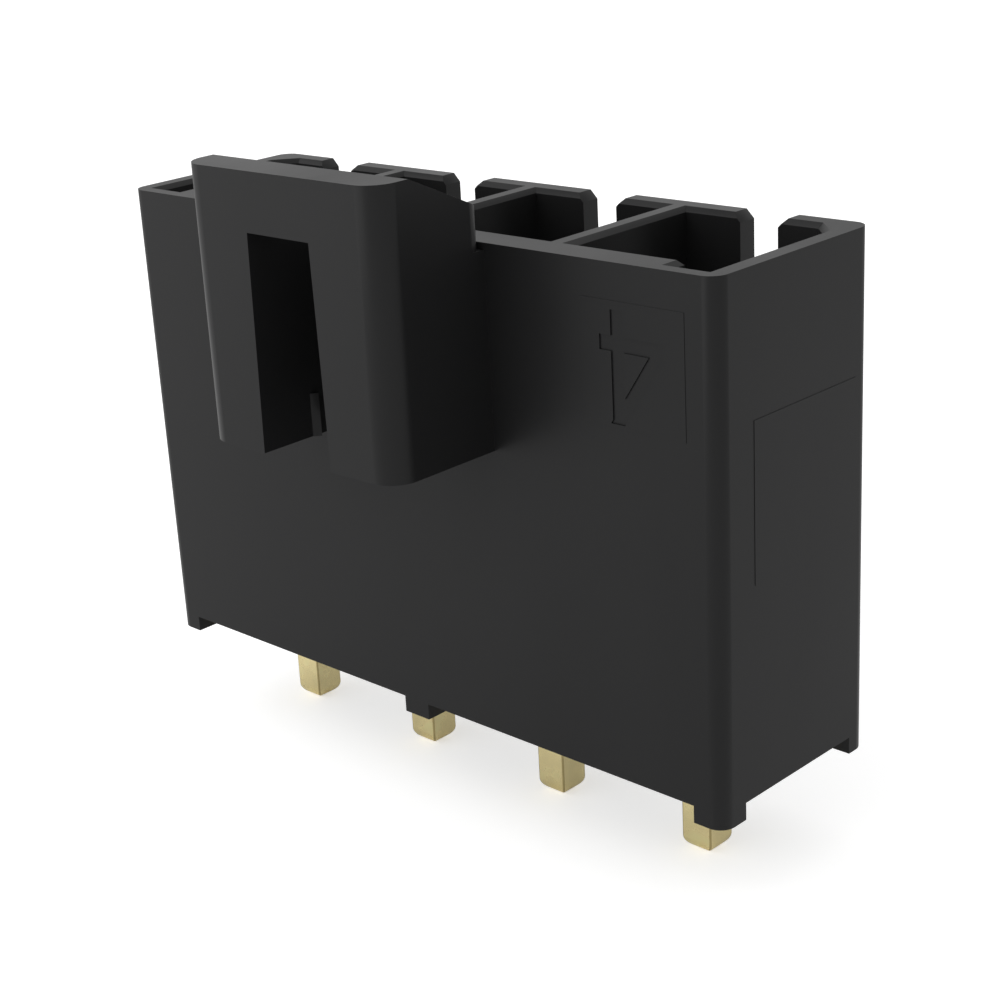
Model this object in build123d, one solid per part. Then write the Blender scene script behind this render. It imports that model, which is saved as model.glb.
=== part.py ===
from build123d import *
import math
import os

# Shrouded board header: one row of square pins in a moulded housing with a latch on its front.
# Lengths are in millimetres and +Z is up, away from the circuit board.
# The origin is on the board, at the middle of the row of pins.
# X runs along the row and the latch is on the -Y side.

# Row of pins
circuits = 4
pitch = 3.50
pin_width = 0.64
pin_tail = 1.84
pin_tail_rounding = 0.24
pin_top = 8.40
pin_lead_height = 0.45
pin_lead_width = 0.34

# Outside of the housing
end_margin = 1.96
housing_depth = 4.15
rim_height = 9.44
corner_radius = 0.30

# Feet that hold the housing off the board
foot_height = 0.32
foot_width = 0.62
back_foot_depth = 0.51

# Walls and floor of the four cells
end_wall = 0.39
back_wall = 0.40
front_wall = 0.70
thin_front_wall = 0.34
keying_reach = 1.14
divider = 0.42
floor_top = 2.20
lead_in = 0.09
corner_fill = 0.38

# Slots in the back wall, one behind each pin
slot_width = 0.77
slot_depth = 4.20
slot_corner_cut = 0.155

# Latch frame on the front wall
latch_width = 4.86
latch_reach = 2.40
latch_rise = 1.36
latch_height = 5.01
latch_edge_radius = 0.50
latch_rear_radius = 0.30
latch_rear_relief = 0.12
latch_bar = 0.76
latch_bar_height = 1.06
latch_slope = 25.2
window_width_top = 1.55
window_width_bottom = 1.73
arm_pocket_width = 3.50
arm_pocket_depth = 0.88

# Wedge-shaped ribs at the foot of the window's two sides
wedge_height = 0.80
wedge_length = 0.12
wedge_rise = 0.12
wedge_back = 1.14

# Places worked out from the sizes above
row_length = (circuits - 1) * pitch
housing_length = row_length + 2 * end_margin
half_length = housing_length / 2
half_depth = housing_depth / 2
front_face = -half_depth
back_face = half_depth
inner_half_length = half_length - end_wall
inner_front = front_face + front_wall
inner_back = back_face - back_wall
latch_front = front_face - latch_reach
latch_top = rim_height + latch_rise
latch_bottom = latch_top - latch_height
window_top = latch_top - latch_bar_height
pin_places = [(i - (circuits - 1) / 2) * pitch for i in range(circuits)]
divider_places = [(i - (circuits - 2) / 2) * pitch for i in range(circuits - 1)]
cut_margin = 1.0
tolerance = 1e-6


def box_between(x0, x1, y0, y1, z0, z1):
    """A box from its lowest to its highest corner."""
    corner = Align.MIN
    return Pos(x0, y0, z0) * Box(x1 - x0, y1 - y0, z1 - z0, align=(corner, corner, corner))


def housing_outline():
    """Plan of the housing, with rounded corners."""
    rectangle = Rectangle(housing_length, housing_depth)
    return fillet(rectangle.vertices(), corner_radius)


def feet():
    """Square feet under the corners and the middle, cut to the housing's plan."""
    pads = []
    x_starts = [-half_length, -foot_width / 2, half_length - foot_width]
    for x0 in x_starts:
        x1 = x0 + foot_width
        pads.append(box_between(x0, x1, front_face, front_face + foot_width, 0, foot_height))
        pads.append(box_between(x0, x1, back_face - back_foot_depth, back_face, 0, foot_height))
    plan = extrude(housing_outline(), foot_height)
    return [pad & plan for pad in pads]


def cell_plan():
    """Plan of the open space inside the walls, before the dividers are left standing."""
    keying_x = half_length - keying_reach
    keying_front = front_face + thin_front_wall
    points = [
        (-inner_half_length, keying_front),
        (-keying_x, keying_front),
        (-keying_x, inner_front),
        (keying_x, inner_front),
        (keying_x, keying_front),
        (inner_half_length, keying_front),
        (inner_half_length, inner_back - corner_fill),
        (inner_half_length - corner_fill, inner_back),
        (-inner_half_length + corner_fill, inner_back),
        (-inner_half_length, inner_back - corner_fill),
    ]
    return make_face(Polyline(*points, close=True))


def cells():
    """The four cells, side by side with a divider's thickness between them."""
    plan = cell_plan()
    for x in divider_places:
        plan -= Pos(x, 0) * Rectangle(divider, 2 * housing_depth)
    return extrude(Pos(0, 0, floor_top) * plan, rim_height - floor_top)


def back_slots():
    """Slots through the back wall, open at the rim, their top corners cut at 45 degrees."""
    half = slot_width / 2
    wide = half + slot_corner_cut
    bottom = rim_height - slot_depth
    points = [
        (-half, bottom),
        (half, bottom),
        (half, rim_height - slot_corner_cut),
        (wide, rim_height),
        (wide, rim_height + cut_margin),
        (-wide, rim_height + cut_margin),
        (-wide, rim_height),
        (-half, rim_height - slot_corner_cut),
    ]
    profile = Plane.XZ * make_face(Polyline(*points, close=True))
    reach = back_wall + cut_margin
    slot = Pos(0, inner_back + reach, 0) * extrude(profile, reach)
    return [Pos(x, 0, 0) * slot for x in pin_places]


def rim_lead_edges(body):
    """Edges of the rim that face the cells."""
    chosen = []
    for edge in body.edges().filter_by(GeomType.LINE):
        middle = edge @ 0.5
        at_rim = abs(middle.Z - rim_height) < tolerance
        inside_length = abs(middle.X) < inner_half_length + tolerance
        inside_depth = front_face + thin_front_wall - tolerance < middle.Y < inner_back + tolerance
        if at_rim and inside_length and inside_depth:
            chosen.append(edge)
    return chosen


def latch_frame():
    """Latch: two legs joined by a bar across their top, standing proud of the front wall."""
    plan = Pos(0, front_face - latch_reach / 2) * Rectangle(latch_width, latch_reach)
    front_corners = plan.vertices().group_by(Axis.Y)[0]
    plan = fillet(front_corners, latch_edge_radius)
    frame = extrude(Pos(0, 0, latch_bottom) * plan, latch_top - latch_bottom)

    # The legs' tops fall away behind the bar.
    bar_back = latch_front + latch_bar
    run = front_face - bar_back + cut_margin
    drop = run * math.tan(math.radians(latch_slope))
    side = [
        (bar_back, latch_top),
        (bar_back + run, latch_top - drop),
        (bar_back + run, latch_top + cut_margin),
        (bar_back, latch_top + cut_margin),
    ]
    slope = extrude(Plane.YZ * make_face(Polyline(*side, close=True)), latch_width, both=True)
    frame -= slope

    # The legs' rear edges are rounded from just below the rim upwards.
    half = latch_width / 2
    start = rim_height - latch_rear_relief
    above_rim = box_between(-half, half, latch_front, front_face, start, latch_top)
    upper = frame & above_rim
    rear = [e for e in upper.edges().filter_by(Axis.Z) if abs((e @ 0.5).Y - front_face) < tolerance]
    upper = fillet(rear, latch_rear_radius)
    return (frame - above_rim) + upper


def latch_window():
    """Window under the bar, open at its foot, with the pocket for the mating latch arm behind."""
    top = window_width_top / 2
    foot = window_width_bottom / 2
    spread = (foot - top) / (window_top - latch_bottom)
    below = foot + spread * cut_margin
    above = top - spread * (latch_top + cut_margin - window_top)
    floor = latch_bottom - cut_margin
    opening = [(-below, floor), (below, floor), (top, window_top), (-top, window_top)]
    slot = Plane.XZ * make_face(Polyline(*opening, close=True))
    window = Pos(0, front_face, 0) * extrude(slot, latch_reach + cut_margin)

    # Behind the bar the same slot goes on up to the open top.
    ceiling = latch_top + cut_margin
    tall = [(-below, floor), (below, floor), (above, ceiling), (-above, ceiling)]
    passage = Plane.XZ * make_face(Polyline(*tall, close=True))
    behind_bar = Pos(0, front_face, 0) * extrude(passage, latch_reach - latch_bar)

    # The arm itself is wider than its hook.
    arm = box_between(
        -arm_pocket_width / 2,
        arm_pocket_width / 2,
        front_face - arm_pocket_depth,
        front_face,
        floor,
        latch_top + cut_margin,
    )
    return [window, behind_bar, arm]


def latch_wedges():
    """Small ribs, wedge-shaped in plan, at the foot of the window's sides."""
    foot = window_width_bottom / 2
    lean = (window_width_bottom - window_width_top) / 2 / (window_top - latch_bottom)
    start = front_face - wedge_back - wedge_length
    wedges = []
    for side in (-1, 1):
        root = side * (foot + lean)
        points = [
            (root, start),
            (side * (foot - lean * wedge_height), start),
            (side * (foot - wedge_rise), start + wedge_length),
            (root, start + wedge_length),
        ]
        plan = Pos(0, 0, latch_bottom) * make_face(Polyline(*points, close=True))
        wedges.append(extrude(plan, wedge_height))
    return wedges


def pin_holes():
    """Square holes through the floor, the pins' own size, because the pins are pressed in."""
    half = pin_width / 2
    hole = box_between(-half, half, -half, half, 0, floor_top + cut_margin)
    return [Pos(x, 0, 0) * hole for x in pin_places]


def housing():
    """The moulded housing, one piece with its latch frame and feet."""
    body = extrude(Pos(0, 0, foot_height) * housing_outline(), rim_height - foot_height)
    body -= cells()
    body = chamfer(rim_lead_edges(body), lead_in)
    for slot in back_slots():
        body -= slot
    frame = latch_frame()
    for cut in latch_window():
        frame -= cut
    for wedge in latch_wedges():
        frame += wedge
    body += frame
    for foot in feet():
        body += foot
    for hole in pin_holes():
        body -= hole
    return body


def pin():
    """A square pin: a tail with rounded edges below the board, a tapered end in its cell."""
    shaft_top = pin_top - pin_lead_height
    half = pin_width / 2
    shaft = box_between(-half, half, -half, half, -pin_tail, shaft_top)
    shaft = fillet(shaft.faces().sort_by(Axis.Z)[0].edges(), pin_tail_rounding)
    base = Pos(0, 0, shaft_top) * Rectangle(pin_width, pin_width)
    end = Pos(0, 0, pin_top) * Rectangle(pin_lead_width, pin_lead_width)
    return shaft + loft([base, end])


def write(shape, name):
    """Save one piece under its own name."""
    export_step(shape, f"parts/{name}.step")


os.makedirs("parts", exist_ok=True)
write(housing(), "housing")
one_pin = pin()
for number, place in enumerate(pin_places, start=1):
    write(Pos(place, 0, 0) * one_pin, f"pin_{number}")
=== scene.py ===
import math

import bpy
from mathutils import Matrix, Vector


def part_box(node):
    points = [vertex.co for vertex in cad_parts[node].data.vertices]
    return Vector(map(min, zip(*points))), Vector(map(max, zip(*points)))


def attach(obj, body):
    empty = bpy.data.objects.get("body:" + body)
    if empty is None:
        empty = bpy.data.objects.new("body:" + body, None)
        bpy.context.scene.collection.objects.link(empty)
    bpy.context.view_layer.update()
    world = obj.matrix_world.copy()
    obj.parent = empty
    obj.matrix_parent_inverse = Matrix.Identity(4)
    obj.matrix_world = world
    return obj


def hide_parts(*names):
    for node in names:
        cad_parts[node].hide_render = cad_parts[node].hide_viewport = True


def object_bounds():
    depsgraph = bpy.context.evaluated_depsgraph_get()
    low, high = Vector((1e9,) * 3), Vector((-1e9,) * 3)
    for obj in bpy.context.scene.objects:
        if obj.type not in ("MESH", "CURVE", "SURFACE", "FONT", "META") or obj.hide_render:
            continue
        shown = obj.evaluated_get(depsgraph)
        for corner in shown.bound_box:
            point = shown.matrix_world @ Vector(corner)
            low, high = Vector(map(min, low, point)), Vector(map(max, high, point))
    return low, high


bl_info = {
    "name": "Pin Header",
    "version": (1, 0, 0),
    "blender": (4, 5, 0),
    "location": "View3D > Sidebar > Pin Header",
    "description": "Dresses a shrouded board header: moulded housing, square pins and a plain studio",
    "category": "Add Mesh",
}

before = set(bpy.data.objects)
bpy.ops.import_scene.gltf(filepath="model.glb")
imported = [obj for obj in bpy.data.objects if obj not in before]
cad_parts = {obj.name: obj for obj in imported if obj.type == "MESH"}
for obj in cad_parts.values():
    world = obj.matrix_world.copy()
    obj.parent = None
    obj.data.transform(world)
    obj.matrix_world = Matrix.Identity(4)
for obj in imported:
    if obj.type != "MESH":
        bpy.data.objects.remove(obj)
CAD_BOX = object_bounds()
HOUSING_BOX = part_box("housing")
PIN_NODES = sorted(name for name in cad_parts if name.startswith("pin_"))
BODY = "root"
MM = 0.001
UP = (0.0, 0.0, 1.0)
WHITE = (1.0, 1.0, 1.0, 1.0)


# Sizes and colours that a user would change

class HeaderHousingSettings(bpy.types.PropertyGroup):
    """Finish and marks of the moulded housing."""

    edge_radius: bpy.props.FloatProperty(
        name="Edge radius",
        description="Rounding of the moulding's sharp edges",
        default=0.025 * MM,
        min=0.0,
        max=0.08 * MM,
        precision=6,
        unit="LENGTH",
    )
    plastic_colour: bpy.props.FloatVectorProperty(
        name="Plastic",
        description="Colour of the black thermoplastic",
        default=(0.0116, 0.0116, 0.0119),
        subtype="COLOR",
        min=0.0,
        max=1.0,
    )
    roughness: bpy.props.FloatProperty(
        name="Roughness",
        description="Roughness of the moulded skin",
        default=0.36,
        min=0.0,
        max=1.0,
        subtype="FACTOR",
    )
    numeral_stroke: bpy.props.FloatProperty(
        name="Numeral stroke",
        description="Width of the engraved numeral's stem and bar",
        default=0.256 * MM,
        precision=6,
        unit="LENGTH",
    )
    numeral_depth: bpy.props.FloatProperty(
        name="Engraving depth",
        description="Depth of the numeral below its pad",
        default=0.026 * MM,
        precision=6,
        unit="LENGTH",
    )
    pad_height: bpy.props.FloatProperty(
        name="Pad height",
        description="How far the two marking pads stand proud of the walls",
        default=0.008 * MM,
        precision=6,
        unit="LENGTH",
    )


class HeaderPinSettings(bpy.types.PropertyGroup):
    """Finish of the square pins."""

    corner_radius: bpy.props.FloatProperty(
        name="Corner radius",
        description="Rounding of the drawn wire's corners",
        default=0.028 * MM,
        min=0.0,
        max=0.1 * MM,
        precision=6,
        unit="LENGTH",
    )
    plating_colour: bpy.props.FloatVectorProperty(
        name="Plating",
        description="Colour of the gold plating",
        default=(0.98, 0.84, 0.45),
        subtype="COLOR",
        min=0.0,
        max=1.0,
    )
    # The corner colour is painted shade: a darker tone along the wire's rounded corners.
    corner_shade_colour: bpy.props.FloatVectorProperty(
        name="Plating at the corners",
        description="Colour of the plating along the wire's rubbed corners",
        default=(0.52, 0.42, 0.20),
        subtype="COLOR",
        min=0.0,
        max=1.0,
    )


class HeaderStageSettings(bpy.types.PropertyGroup):
    """Floor and key light."""

    floor_colour: bpy.props.FloatVectorProperty(
        name="Floor",
        description="Colour of the plain floor",
        default=(0.82, 0.82, 0.82),
        subtype="COLOR",
        min=0.0,
        max=1.0,
    )
    key_power: bpy.props.FloatProperty(
        name="Key light",
        description="Power of the large light on the latch's side, in watts",
        default=0.135,
        min=0.0,
    )


# Helpers for modelling by operator, with angles in degrees

MERGE_DISTANCE = 0.0005 * MM
FLAT_ANGLE = 0.5
SMOOTH_ANGLE = 46
LARGE_FACE_WEIGHT = 100
SAME_WAY_COSINE = 0.99
NO_OWN_MATERIAL = -1


def deselect_all():
    """Leave edit mode and deselect every object."""
    if bpy.context.object and bpy.context.object.mode != "OBJECT":
        bpy.ops.object.mode_set(mode="OBJECT")
    bpy.ops.object.select_all(action="DESELECT")


def make_active(piece):
    """Select one piece alone and make it the active object."""
    deselect_all()
    piece.select_set(True)
    bpy.context.view_layer.objects.active = piece


def copy_of_node(node, name):
    """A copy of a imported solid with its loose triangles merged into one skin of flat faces."""
    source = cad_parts[node]
    piece = bpy.data.objects.new(name, source.data.copy())
    piece.data.name = name
    bpy.context.scene.collection.objects.link(piece)
    make_active(piece)
    piece.data.materials.clear()
    bpy.ops.mesh.customdata_custom_splitnormals_clear()
    bpy.ops.object.mode_set(mode="EDIT")
    bpy.ops.mesh.select_all(action="SELECT")
    bpy.ops.mesh.remove_doubles(threshold=MERGE_DISTANCE)
    bpy.ops.mesh.dissolve_limited(angle_limit=math.radians(FLAT_ANGLE))
    bpy.ops.object.mode_set(mode="OBJECT")
    return piece


def apply_modifier(piece, kind, **values):
    """Add one modifier, set its values and apply it."""
    make_active(piece)
    modifier = piece.modifiers.new(kind.title(), kind)
    for key, value in values.items():
        setattr(modifier, key, value)
    bpy.ops.object.modifier_apply(modifier=modifier.name)


def smooth_shading(piece):
    """Smooth the roundings, and keep flat faces flat and edges above the angle sharp."""
    make_active(piece)
    bpy.ops.object.shade_smooth_by_angle(angle=math.radians(SMOOTH_ANGLE))
    apply_modifier(
        piece,
        "WEIGHTED_NORMAL",
        keep_sharp=True,
        weight=LARGE_FACE_WEIGHT,
        thresh=0.0,
    )


def round_sharp_edges(piece, radius, segments, degrees, material=NO_OWN_MATERIAL):
    """Round every edge sharper than an angle, and give the new faces their own material if named."""
    apply_modifier(
        piece,
        "BEVEL",
        width=radius,
        segments=segments,
        limit_method="ANGLE",
        angle_limit=math.radians(degrees),
        use_clamp_overlap=True,
        material=material,
    )


def bake_place(piece):
    """Put a piece's place, turn and scale into its mesh."""
    make_active(piece)
    bpy.ops.object.transform_apply(location=True, rotation=True, scale=True)


def add_block(name, low, high):
    """A cube primitive set between two corners, with its place in its mesh."""
    deselect_all()
    centre = [(a + b) / 2 for a, b in zip(low, high)]
    bpy.ops.mesh.primitive_cube_add(size=1.0, location=centre)
    block = bpy.context.object
    block.name = name
    block.data.name = name
    block.scale = [b - a for a, b in zip(low, high)]
    bake_place(block)
    return block


def push_face(piece, normal, move):
    """Move the faces that point one way."""
    make_active(piece)
    bpy.ops.object.mode_set(mode="EDIT")
    bpy.ops.mesh.select_mode(type="FACE")
    bpy.ops.mesh.select_all(action="DESELECT")
    bpy.ops.object.mode_set(mode="OBJECT")
    for face in piece.data.polygons:
        face.select = face.normal.dot(Vector(normal)) > SAME_WAY_COSINE
    bpy.ops.object.mode_set(mode="EDIT")
    bpy.ops.transform.translate(value=move)
    bpy.ops.object.mode_set(mode="OBJECT")


def cut_or_join(piece, tool, operation):
    """One exact boolean with a tool piece, which is then deleted."""
    apply_modifier(piece, "BOOLEAN", operation=operation, object=tool, solver="EXACT")
    bpy.data.objects.remove(tool)


# Helpers for shader nodes

# Most of a noise lies between these two values.
NOISE_LOW = 0.3
NOISE_HIGH = 0.7

FINISH_OUTPUTS = (
    ("Colour", "NodeSocketColor"),
    ("Roughness", "NodeSocketFloat"),
    ("Normal", "NodeSocketVector"),
)


def add_node(tree, kind, inputs, **settings):
    """One shader node with its settings, each input fed by another node or set to a value."""
    node = tree.nodes.new(kind)
    for key, value in settings.items():
        setattr(node, key, value)
    for label, value in inputs.items():
        if isinstance(value, bpy.types.NodeSocket):
            tree.links.new(value, node.inputs[label])
        else:
            node.inputs[label].default_value = value
    return node


def multiply_add(tree, value, factor, base):
    """A number that grows with another: value times factor plus base."""
    inputs = {0: value, 1: factor, 2: base}
    return add_node(tree, "ShaderNodeMath", inputs, operation="MULTIPLY_ADD").outputs["Value"]


def spread_noise(tree, noise, low, high):
    """The middle of a noise's range spread between two values."""
    inputs = {
        "Value": noise,
        "From Min": NOISE_LOW,
        "From Max": NOISE_HIGH,
        "To Min": low,
        "To Max": high,
    }
    return add_node(tree, "ShaderNodeMapRange", inputs).outputs["Result"]


def scale_colour(tree, colour, factor):
    """A colour made lighter or darker by a factor."""
    inputs = {"Vector": colour, "Scale": factor}
    return add_node(tree, "ShaderNodeVectorMath", inputs, operation="SCALE").outputs["Vector"]


def new_finish_group(name, inputs):
    """A node group for a finish, with its input sockets and the piece's own coordinates."""
    group = bpy.data.node_groups.new(name, "ShaderNodeTree")
    for label, kind in inputs:
        group.interface.new_socket(name=label, in_out="INPUT", socket_type=kind)
    for label, kind in FINISH_OUTPUTS:
        group.interface.new_socket(name=label, in_out="OUTPUT", socket_type=kind)
    entry = group.nodes.new("NodeGroupInput")
    place = group.nodes.new("ShaderNodeTexCoord")
    return group, entry.outputs, place.outputs["Object"]


def close_finish_group(group, colour, roughness, height, distance, strength):
    """Feed what the group puts out: colour, roughness, and the normal of a bump."""
    bump = add_node(
        group,
        "ShaderNodeBump",
        {"Height": height, "Distance": distance, "Strength": strength},
    )
    outputs = {"Colour": colour, "Roughness": roughness, "Normal": bump.outputs["Normal"]}
    add_node(group, "NodeGroupOutput", outputs)


def principled_material(name):
    """A new material and its Principled shader."""
    material = bpy.data.materials.new(name)
    material.use_nodes = True
    return material, material.node_tree.nodes["Principled BSDF"]


def finished_material(name, group, values):
    """A material whose colour, roughness and normal come from a finish group with its own values."""
    material, shader = principled_material(name)
    tree = material.node_tree
    finish = add_node(tree, "ShaderNodeGroup", values, node_tree=group)
    tree.links.new(finish.outputs["Colour"], shader.inputs["Base Color"])
    tree.links.new(finish.outputs["Roughness"], shader.inputs["Roughness"])
    tree.links.new(finish.outputs["Normal"], shader.inputs["Normal"])
    return material, shader


# Finishes of the plastic and the plating, with the patterns' scales per metre

GRAIN_SCALE = 9000.0
GRAIN_DEPTH = 0.12
GRAIN_HEIGHT = 0.004 * MM
FLOW_SCALE = (300.0, 300.0, 90.0)
FLOW_ROUGHNESS = 0.04
MOTTLING = 0.06
PLASTIC_IOR = 1.285

LINE_SCALE = (24000.0, 24000.0, 900.0)
LINE_DEPTH = 0.05
LINE_HEIGHT = 0.003 * MM
CLOUD_SCALE = 2200.0
CLOUD_TONES = (0.93, 1.07)
CLOUD_ROUGHNESS = 0.06
FLAT_ROUGHNESS = 0.24
CORNER_ROUGHNESS = 0.30


def moulded_skin_group():
    """Fine grain, slow mottling and flow marks of a moulded skin."""
    group, entry, place = new_finish_group(
        "moulded_skin",
        [
            ("Grain scale", "NodeSocketFloat"),
            ("Grain depth", "NodeSocketFloat"),
            ("Colour", "NodeSocketColor"),
            ("Mottling", "NodeSocketFloat"),
            ("Roughness", "NodeSocketFloat"),
        ],
    )
    grain = add_node(
        group,
        "ShaderNodeTexNoise",
        {"Vector": place, "Scale": entry["Grain scale"], "Detail": 3.0, "Roughness": 0.55},
    )
    along_flow = add_node(group, "ShaderNodeMapping", {"Vector": place, "Scale": FLOW_SCALE})
    flow = add_node(
        group,
        "ShaderNodeTexNoise",
        {"Vector": along_flow.outputs["Vector"], "Scale": 1.0, "Detail": 4.0, "Distortion": 0.6},
    )
    marks = spread_noise(group, flow.outputs["Fac"], -1.0, 1.0)
    tone = multiply_add(group, marks, entry["Mottling"], 1.0)
    close_finish_group(
        group,
        colour=scale_colour(group, entry["Colour"], tone),
        roughness=multiply_add(group, marks, FLOW_ROUGHNESS, entry["Roughness"]),
        height=grain.outputs["Fac"],
        distance=GRAIN_HEIGHT,
        strength=entry["Grain depth"],
    )
    return group


def drawn_plating_group():
    """Lengthwise drawing lines and a faint change of tone on drawn, plated wire."""
    group, entry, place = new_finish_group(
        "drawn_plating",
        [
            ("Colour", "NodeSocketColor"),
            ("Roughness", "NodeSocketFloat"),
            ("Line depth", "NodeSocketFloat"),
        ],
    )
    along_wire = add_node(group, "ShaderNodeMapping", {"Vector": place, "Scale": LINE_SCALE})
    lines = add_node(
        group,
        "ShaderNodeTexNoise",
        {"Vector": along_wire.outputs["Vector"], "Scale": 1.0, "Detail": 2.0},
    )
    cloud = add_node(
        group,
        "ShaderNodeTexNoise",
        {"Vector": place, "Scale": CLOUD_SCALE, "Detail": 3.0},
    )
    tone = spread_noise(group, cloud.outputs["Fac"], *CLOUD_TONES)
    close_finish_group(
        group,
        colour=scale_colour(group, entry["Colour"], tone),
        roughness=multiply_add(
            group, cloud.outputs["Fac"], CLOUD_ROUGHNESS, entry["Roughness"]
        ),
        height=lines.outputs["Fac"],
        distance=LINE_HEIGHT,
        strength=entry["Line depth"],
    )
    return group


def black_plastic(settings):
    """Black moulded thermoplastic with a satin skin."""
    values = {
        "Grain scale": GRAIN_SCALE,
        "Grain depth": GRAIN_DEPTH,
        "Colour": (*settings.plastic_colour, 1.0),
        "Mottling": MOTTLING,
        "Roughness": settings.roughness,
    }
    material, shader = finished_material("black_moulded_plastic", moulded_skin_group(), values)
    shader.inputs["IOR"].default_value = PLASTIC_IOR
    return material


def gold_plating(name, group, colour, roughness):
    """Pale gold plating on drawn square wire."""
    values = {"Colour": (*colour, 1.0), "Roughness": roughness, "Line depth": LINE_DEPTH}
    material, shader = finished_material(name, group, values)
    shader.inputs["Metallic"].default_value = 1.0
    return material


# Housing: the marks on its walls, and its edges

# The housing's depth is without its latch, which takes up the rest of its box.
HOUSING_DEPTH = 4.15 * MM
FRONT_WALL = HOUSING_BOX[1].y - HOUSING_DEPTH
END_WALL = HOUSING_BOX[1].x

MOULDING_EDGE_ANGLE = 24
MOULDING_EDGE_SEGMENTS = 2

# The pads reach this far into the walls, and the blocks that engrave start this far outside.
OVERLAP = 0.10 * MM

# The numeral's pad is square, near the front wall's right end, below the rim.
NUMERAL_PAD_SIDE = 2.10 * MM
NUMERAL_PAD_LEFT = 4.49 * MM
NUMERAL_PAD_TOP = 8.82 * MM

# The end wall's pad is square and bare.
END_PAD_SIDE = 2.80 * MM
END_PAD_FRONT = -1.163 * MM
END_PAD_TOP = 6.955 * MM

# The numeral 4 stands on its head, so its stem is on the left and its bar near the top.
NUMERAL_LEFT = 4.88 * MM
NUMERAL_RIGHT = 6.17 * MM
NUMERAL_FOOT = 6.776 * MM
NUMERAL_TOP = 8.673 * MM
STEM_LEFT = 5.117 * MM
BAR_FOOT = 7.99 * MM
DIAGONAL_LEFT = 5.072 * MM
DIAGONAL_WIDTH = 0.29 * MM


def add_pads(settings):
    """Two thin square pads: one holds the numeral on the front wall, one is bare on the end wall."""
    proud = settings.pad_height
    numeral_pad = add_block(
        "numeral_pad",
        (NUMERAL_PAD_LEFT, FRONT_WALL - proud, NUMERAL_PAD_TOP - NUMERAL_PAD_SIDE),
        (NUMERAL_PAD_LEFT + NUMERAL_PAD_SIDE, FRONT_WALL + OVERLAP, NUMERAL_PAD_TOP),
    )
    end_pad = add_block(
        "end_pad",
        (END_WALL - OVERLAP, END_PAD_FRONT, END_PAD_TOP - END_PAD_SIDE),
        (END_WALL + proud, END_PAD_FRONT + END_PAD_SIDE, END_PAD_TOP),
    )
    return [numeral_pad, end_pad]


def add_stroke(name, left, foot, right, top, settings):
    """One straight stroke of the engraving, as a block that cuts into the pad."""
    face = FRONT_WALL - settings.pad_height
    return add_block(
        name,
        (left, face - OVERLAP, foot),
        (right, face + settings.numeral_depth, top),
    )


def add_numeral_strokes(settings):
    """Stem, bar and diagonal of the numeral."""
    stem_right = STEM_LEFT + settings.numeral_stroke
    bar_top = BAR_FOOT + settings.numeral_stroke
    diagonal_right = DIAGONAL_LEFT + DIAGONAL_WIDTH
    stem = add_stroke("stem", STEM_LEFT, NUMERAL_FOOT, stem_right, NUMERAL_TOP, settings)
    bar = add_stroke("bar", NUMERAL_LEFT, BAR_FOOT, NUMERAL_RIGHT, bar_top, settings)
    diagonal = add_stroke(
        "diagonal", DIAGONAL_LEFT, NUMERAL_FOOT, diagonal_right, BAR_FOOT, settings
    )
    push_face(diagonal, UP, (NUMERAL_RIGHT - diagonal_right, 0.0, 0.0))
    return [stem, bar, diagonal]


class HEADER_OT_housing(bpy.types.Operator):
    """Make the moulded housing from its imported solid."""

    bl_idname = "header.housing"
    bl_label = "Moulded housing"
    bl_options = {"REGISTER", "UNDO"}

    def execute(self, context):
        settings = context.scene.header_housing
        shell = copy_of_node("housing", "header_housing")
        round_sharp_edges(
            shell, settings.edge_radius, MOULDING_EDGE_SEGMENTS, MOULDING_EDGE_ANGLE
        )
        for pad in add_pads(settings):
            cut_or_join(shell, pad, "UNION")
        for stroke in add_numeral_strokes(settings):
            cut_or_join(shell, stroke, "DIFFERENCE")
        smooth_shading(shell)
        shell.data.materials.append(black_plastic(settings))
        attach(shell, BODY)
        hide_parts("housing")
        return {"FINISHED"}


# Pins: drawn square wire, whose rounded corners have a material of their own, darker than the flats
# as painted shade

WIRE_CORNER_ANGLE = 40
WIRE_CORNER_SEGMENTS = 3
WIRE_CORNER_MATERIAL = 1


class HEADER_OT_pins(bpy.types.Operator):
    """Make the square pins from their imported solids."""

    bl_idname = "header.pins"
    bl_label = "Square pins"
    bl_options = {"REGISTER", "UNDO"}

    def execute(self, context):
        settings = context.scene.header_pins
        drawn = drawn_plating_group()
        flats = gold_plating("pale_gold_plating", drawn, settings.plating_colour, FLAT_ROUGHNESS)
        # The corners' darker plating colour is painted shade along the rounded corners, and they are
        # also rougher than the flats.
        corners = gold_plating(
            "painted_shade_plating_corner", drawn, settings.corner_shade_colour, CORNER_ROUGHNESS
        )
        for node in PIN_NODES:
            wire = copy_of_node(node, f"contact_{node}")
            wire.data.materials.append(flats)
            wire.data.materials.append(corners)
            round_sharp_edges(
                wire,
                settings.corner_radius,
                WIRE_CORNER_SEGMENTS,
                WIRE_CORNER_ANGLE,
                WIRE_CORNER_MATERIAL,
            )
            smooth_shading(wire)
            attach(wire, BODY)
            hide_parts(node)
        return {"FINISHED"}


# Stage: floor, lights and the camera at the photograph's viewing angle

# The camera's angles are in degrees, its focal length and centre in pixels of the photograph.
CAMERA_PLACE = (25.071 * MM, -25.431 * MM, 16.817 * MM)
CAMERA_AZIMUTH = 47.113
CAMERA_ELEVATION = 20.244
CAMERA_ROLL = -4.186
CAMERA_FOCAL_PX = 1993.1
CAMERA_CENTRE_PX = (400.0, 510.0)
CAMERA_NEAR = 1.0 * MM
CAMERA_FAR = 10.0
IMAGE_PX = 1000.0
SENSOR_MM = 36.0

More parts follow.
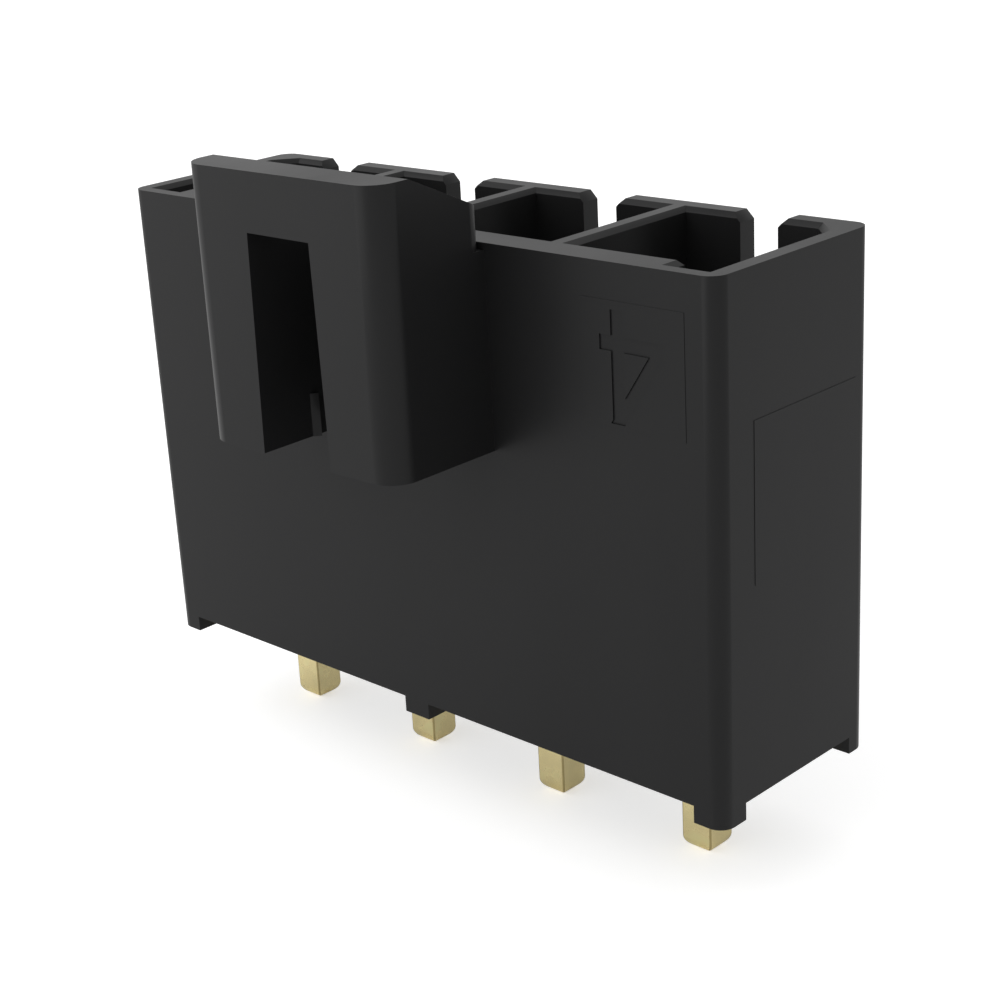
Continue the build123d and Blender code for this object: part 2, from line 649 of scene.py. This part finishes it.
# The camera sees the floor and the surroundings brighter, by a lift, than the part reflects them.
WORLD_STRENGTH = 0.75
WORLD_LIFT = 0.25
FLOOR_GLOW = 0.06
FLOOR_LIFT = 0.45
FLOOR_SIDE = 1.2
FLOOR_ROUGHNESS = 0.9
FLOOR_SPECULAR = 0.2

KEY_PLACE = (-70 * MM, -110 * MM, 75 * MM)
KEY_TARGET = (0.0, 0.0, 5 * MM)
KEY_SIDE = 200 * MM


def camera_turn():
    """Right, up and back directions of the camera as the columns of a matrix."""
    azimuth = math.radians(CAMERA_AZIMUTH)
    elevation = math.radians(CAMERA_ELEVATION)
    roll = math.radians(CAMERA_ROLL)
    back = Vector((
        math.sin(azimuth) * math.cos(elevation),
        -math.cos(azimuth) * math.cos(elevation),
        math.sin(elevation),
    ))
    level = Vector(UP).cross(back).normalized()
    upright = back.cross(level)
    right = math.cos(roll) * level + math.sin(roll) * upright
    up = -math.sin(roll) * level + math.cos(roll) * upright
    return Matrix((right, up, back)).transposed()


def add_camera():
    """The camera at the photograph's viewing angle, fitted to the housing's straight edges."""
    data = bpy.data.cameras.new("camera")
    data.sensor_width = SENSOR_MM
    data.lens = CAMERA_FOCAL_PX * SENSOR_MM / IMAGE_PX
    data.shift_x = (IMAGE_PX / 2 - CAMERA_CENTRE_PX[0]) / IMAGE_PX
    data.shift_y = (CAMERA_CENTRE_PX[1] - IMAGE_PX / 2) / IMAGE_PX
    data.clip_start = CAMERA_NEAR
    data.clip_end = CAMERA_FAR
    camera = bpy.data.objects.new("camera", data)
    camera.matrix_world = Matrix.Translation(CAMERA_PLACE) @ camera_turn().to_4x4()
    bpy.context.scene.collection.objects.link(camera)
    bpy.context.scene.camera = camera


def add_key_light(power):
    """One large square light on the latch's side, which the camera doesn't see."""
    data = bpy.data.lights.new("key", "AREA")
    data.shape = "SQUARE"
    data.size = KEY_SIDE
    data.energy = power
    light = bpy.data.objects.new("key", data)
    light.location = KEY_PLACE
    aim = Vector(KEY_TARGET) - Vector(KEY_PLACE)
    light.rotation_euler = aim.to_track_quat("-Z", "Y").to_euler()
    light.visible_camera = False
    bpy.context.scene.collection.objects.link(light)


def lift_for_camera(tree, strength, lift):
    """A strength that is higher by the lift where the camera sees the surface directly."""
    seen = add_node(tree, "ShaderNodeLightPath", {}).outputs["Is Camera Ray"]
    return multiply_add(tree, seen, lift, strength)


def add_floor(colour):
    """The plain floor, level with the ends of the pins' tails."""
    deselect_all()
    bpy.ops.mesh.primitive_plane_add(size=FLOOR_SIDE, location=(0.0, 0.0, CAD_BOX[0].z))
    floor = bpy.context.object
    floor.name = "floor"
    bake_place(floor)
    material, shader = principled_material("plain_floor")
    shader.inputs["Base Color"].default_value = (*colour, 1.0)
    shader.inputs["Roughness"].default_value = FLOOR_ROUGHNESS
    shader.inputs["Specular IOR Level"].default_value = FLOOR_SPECULAR
    shader.inputs["Emission Color"].default_value = WHITE
    tree = material.node_tree
    glow = lift_for_camera(tree, FLOOR_GLOW, FLOOR_LIFT)
    tree.links.new(glow, shader.inputs["Emission Strength"])
    floor.data.materials.append(material)


def add_surroundings():
    """Plain white surroundings."""
    world = bpy.data.worlds.new("studio")
    world.use_nodes = True
    tree = world.node_tree
    background = tree.nodes["Background"]
    background.inputs["Color"].default_value = WHITE
    strength = lift_for_camera(tree, WORLD_STRENGTH, WORLD_LIFT)
    tree.links.new(strength, background.inputs["Strength"])
    bpy.context.scene.world = world


class HEADER_OT_stage(bpy.types.Operator):
    """Set the plain floor, the white surroundings, the key light and the camera."""

    bl_idname = "header.stage"
    bl_label = "Plain studio"
    bl_options = {"REGISTER", "UNDO"}

    def execute(self, context):
        settings = context.scene.header_stage
        add_floor(settings.floor_colour)
        add_camera()
        add_surroundings()
        add_key_light(settings.key_power)
        context.scene.view_settings.view_transform = "Standard"
        return {"FINISHED"}


class HEADER_PT_panel(bpy.types.Panel):
    """Lists the steps that build the header, and their settings."""

    bl_idname = "HEADER_PT_panel"
    bl_label = "Pin Header"
    bl_space_type = "VIEW_3D"
    bl_region_type = "UI"
    bl_category = "Pin Header"

    def draw(self, context):
        for step in STEPS:
            self.layout.operator(step.bl_idname, text=step.bl_label)
        for name, cls in SETTINGS.items():
            box = self.layout.box()
            for setting in cls.__annotations__:
                box.prop(getattr(context.scene, name), setting)


SETTINGS = {
    "header_housing": HeaderHousingSettings,
    "header_pins": HeaderPinSettings,
    "header_stage": HeaderStageSettings,
}
STEPS = (HEADER_OT_housing, HEADER_OT_pins, HEADER_OT_stage)


def register():
    """Register the classes and give the scene its settings."""
    for cls in (*SETTINGS.values(), *STEPS, HEADER_PT_panel):
        bpy.utils.register_class(cls)
    for name, cls in SETTINGS.items():
        setattr(bpy.types.Scene, name, bpy.props.PointerProperty(type=cls))


def unregister():
    """Take the settings and the classes away again."""
    for name in SETTINGS:
        delattr(bpy.types.Scene, name)
    for cls in (HEADER_PT_panel, *STEPS, *SETTINGS.values()):
        bpy.utils.unregister_class(cls)


def main():
    """Build the stage, the housing and the pins."""
    register()
    bpy.ops.header.stage()
    bpy.ops.header.housing()
    bpy.ops.header.pins()


if __name__ == "__main__":
    main()
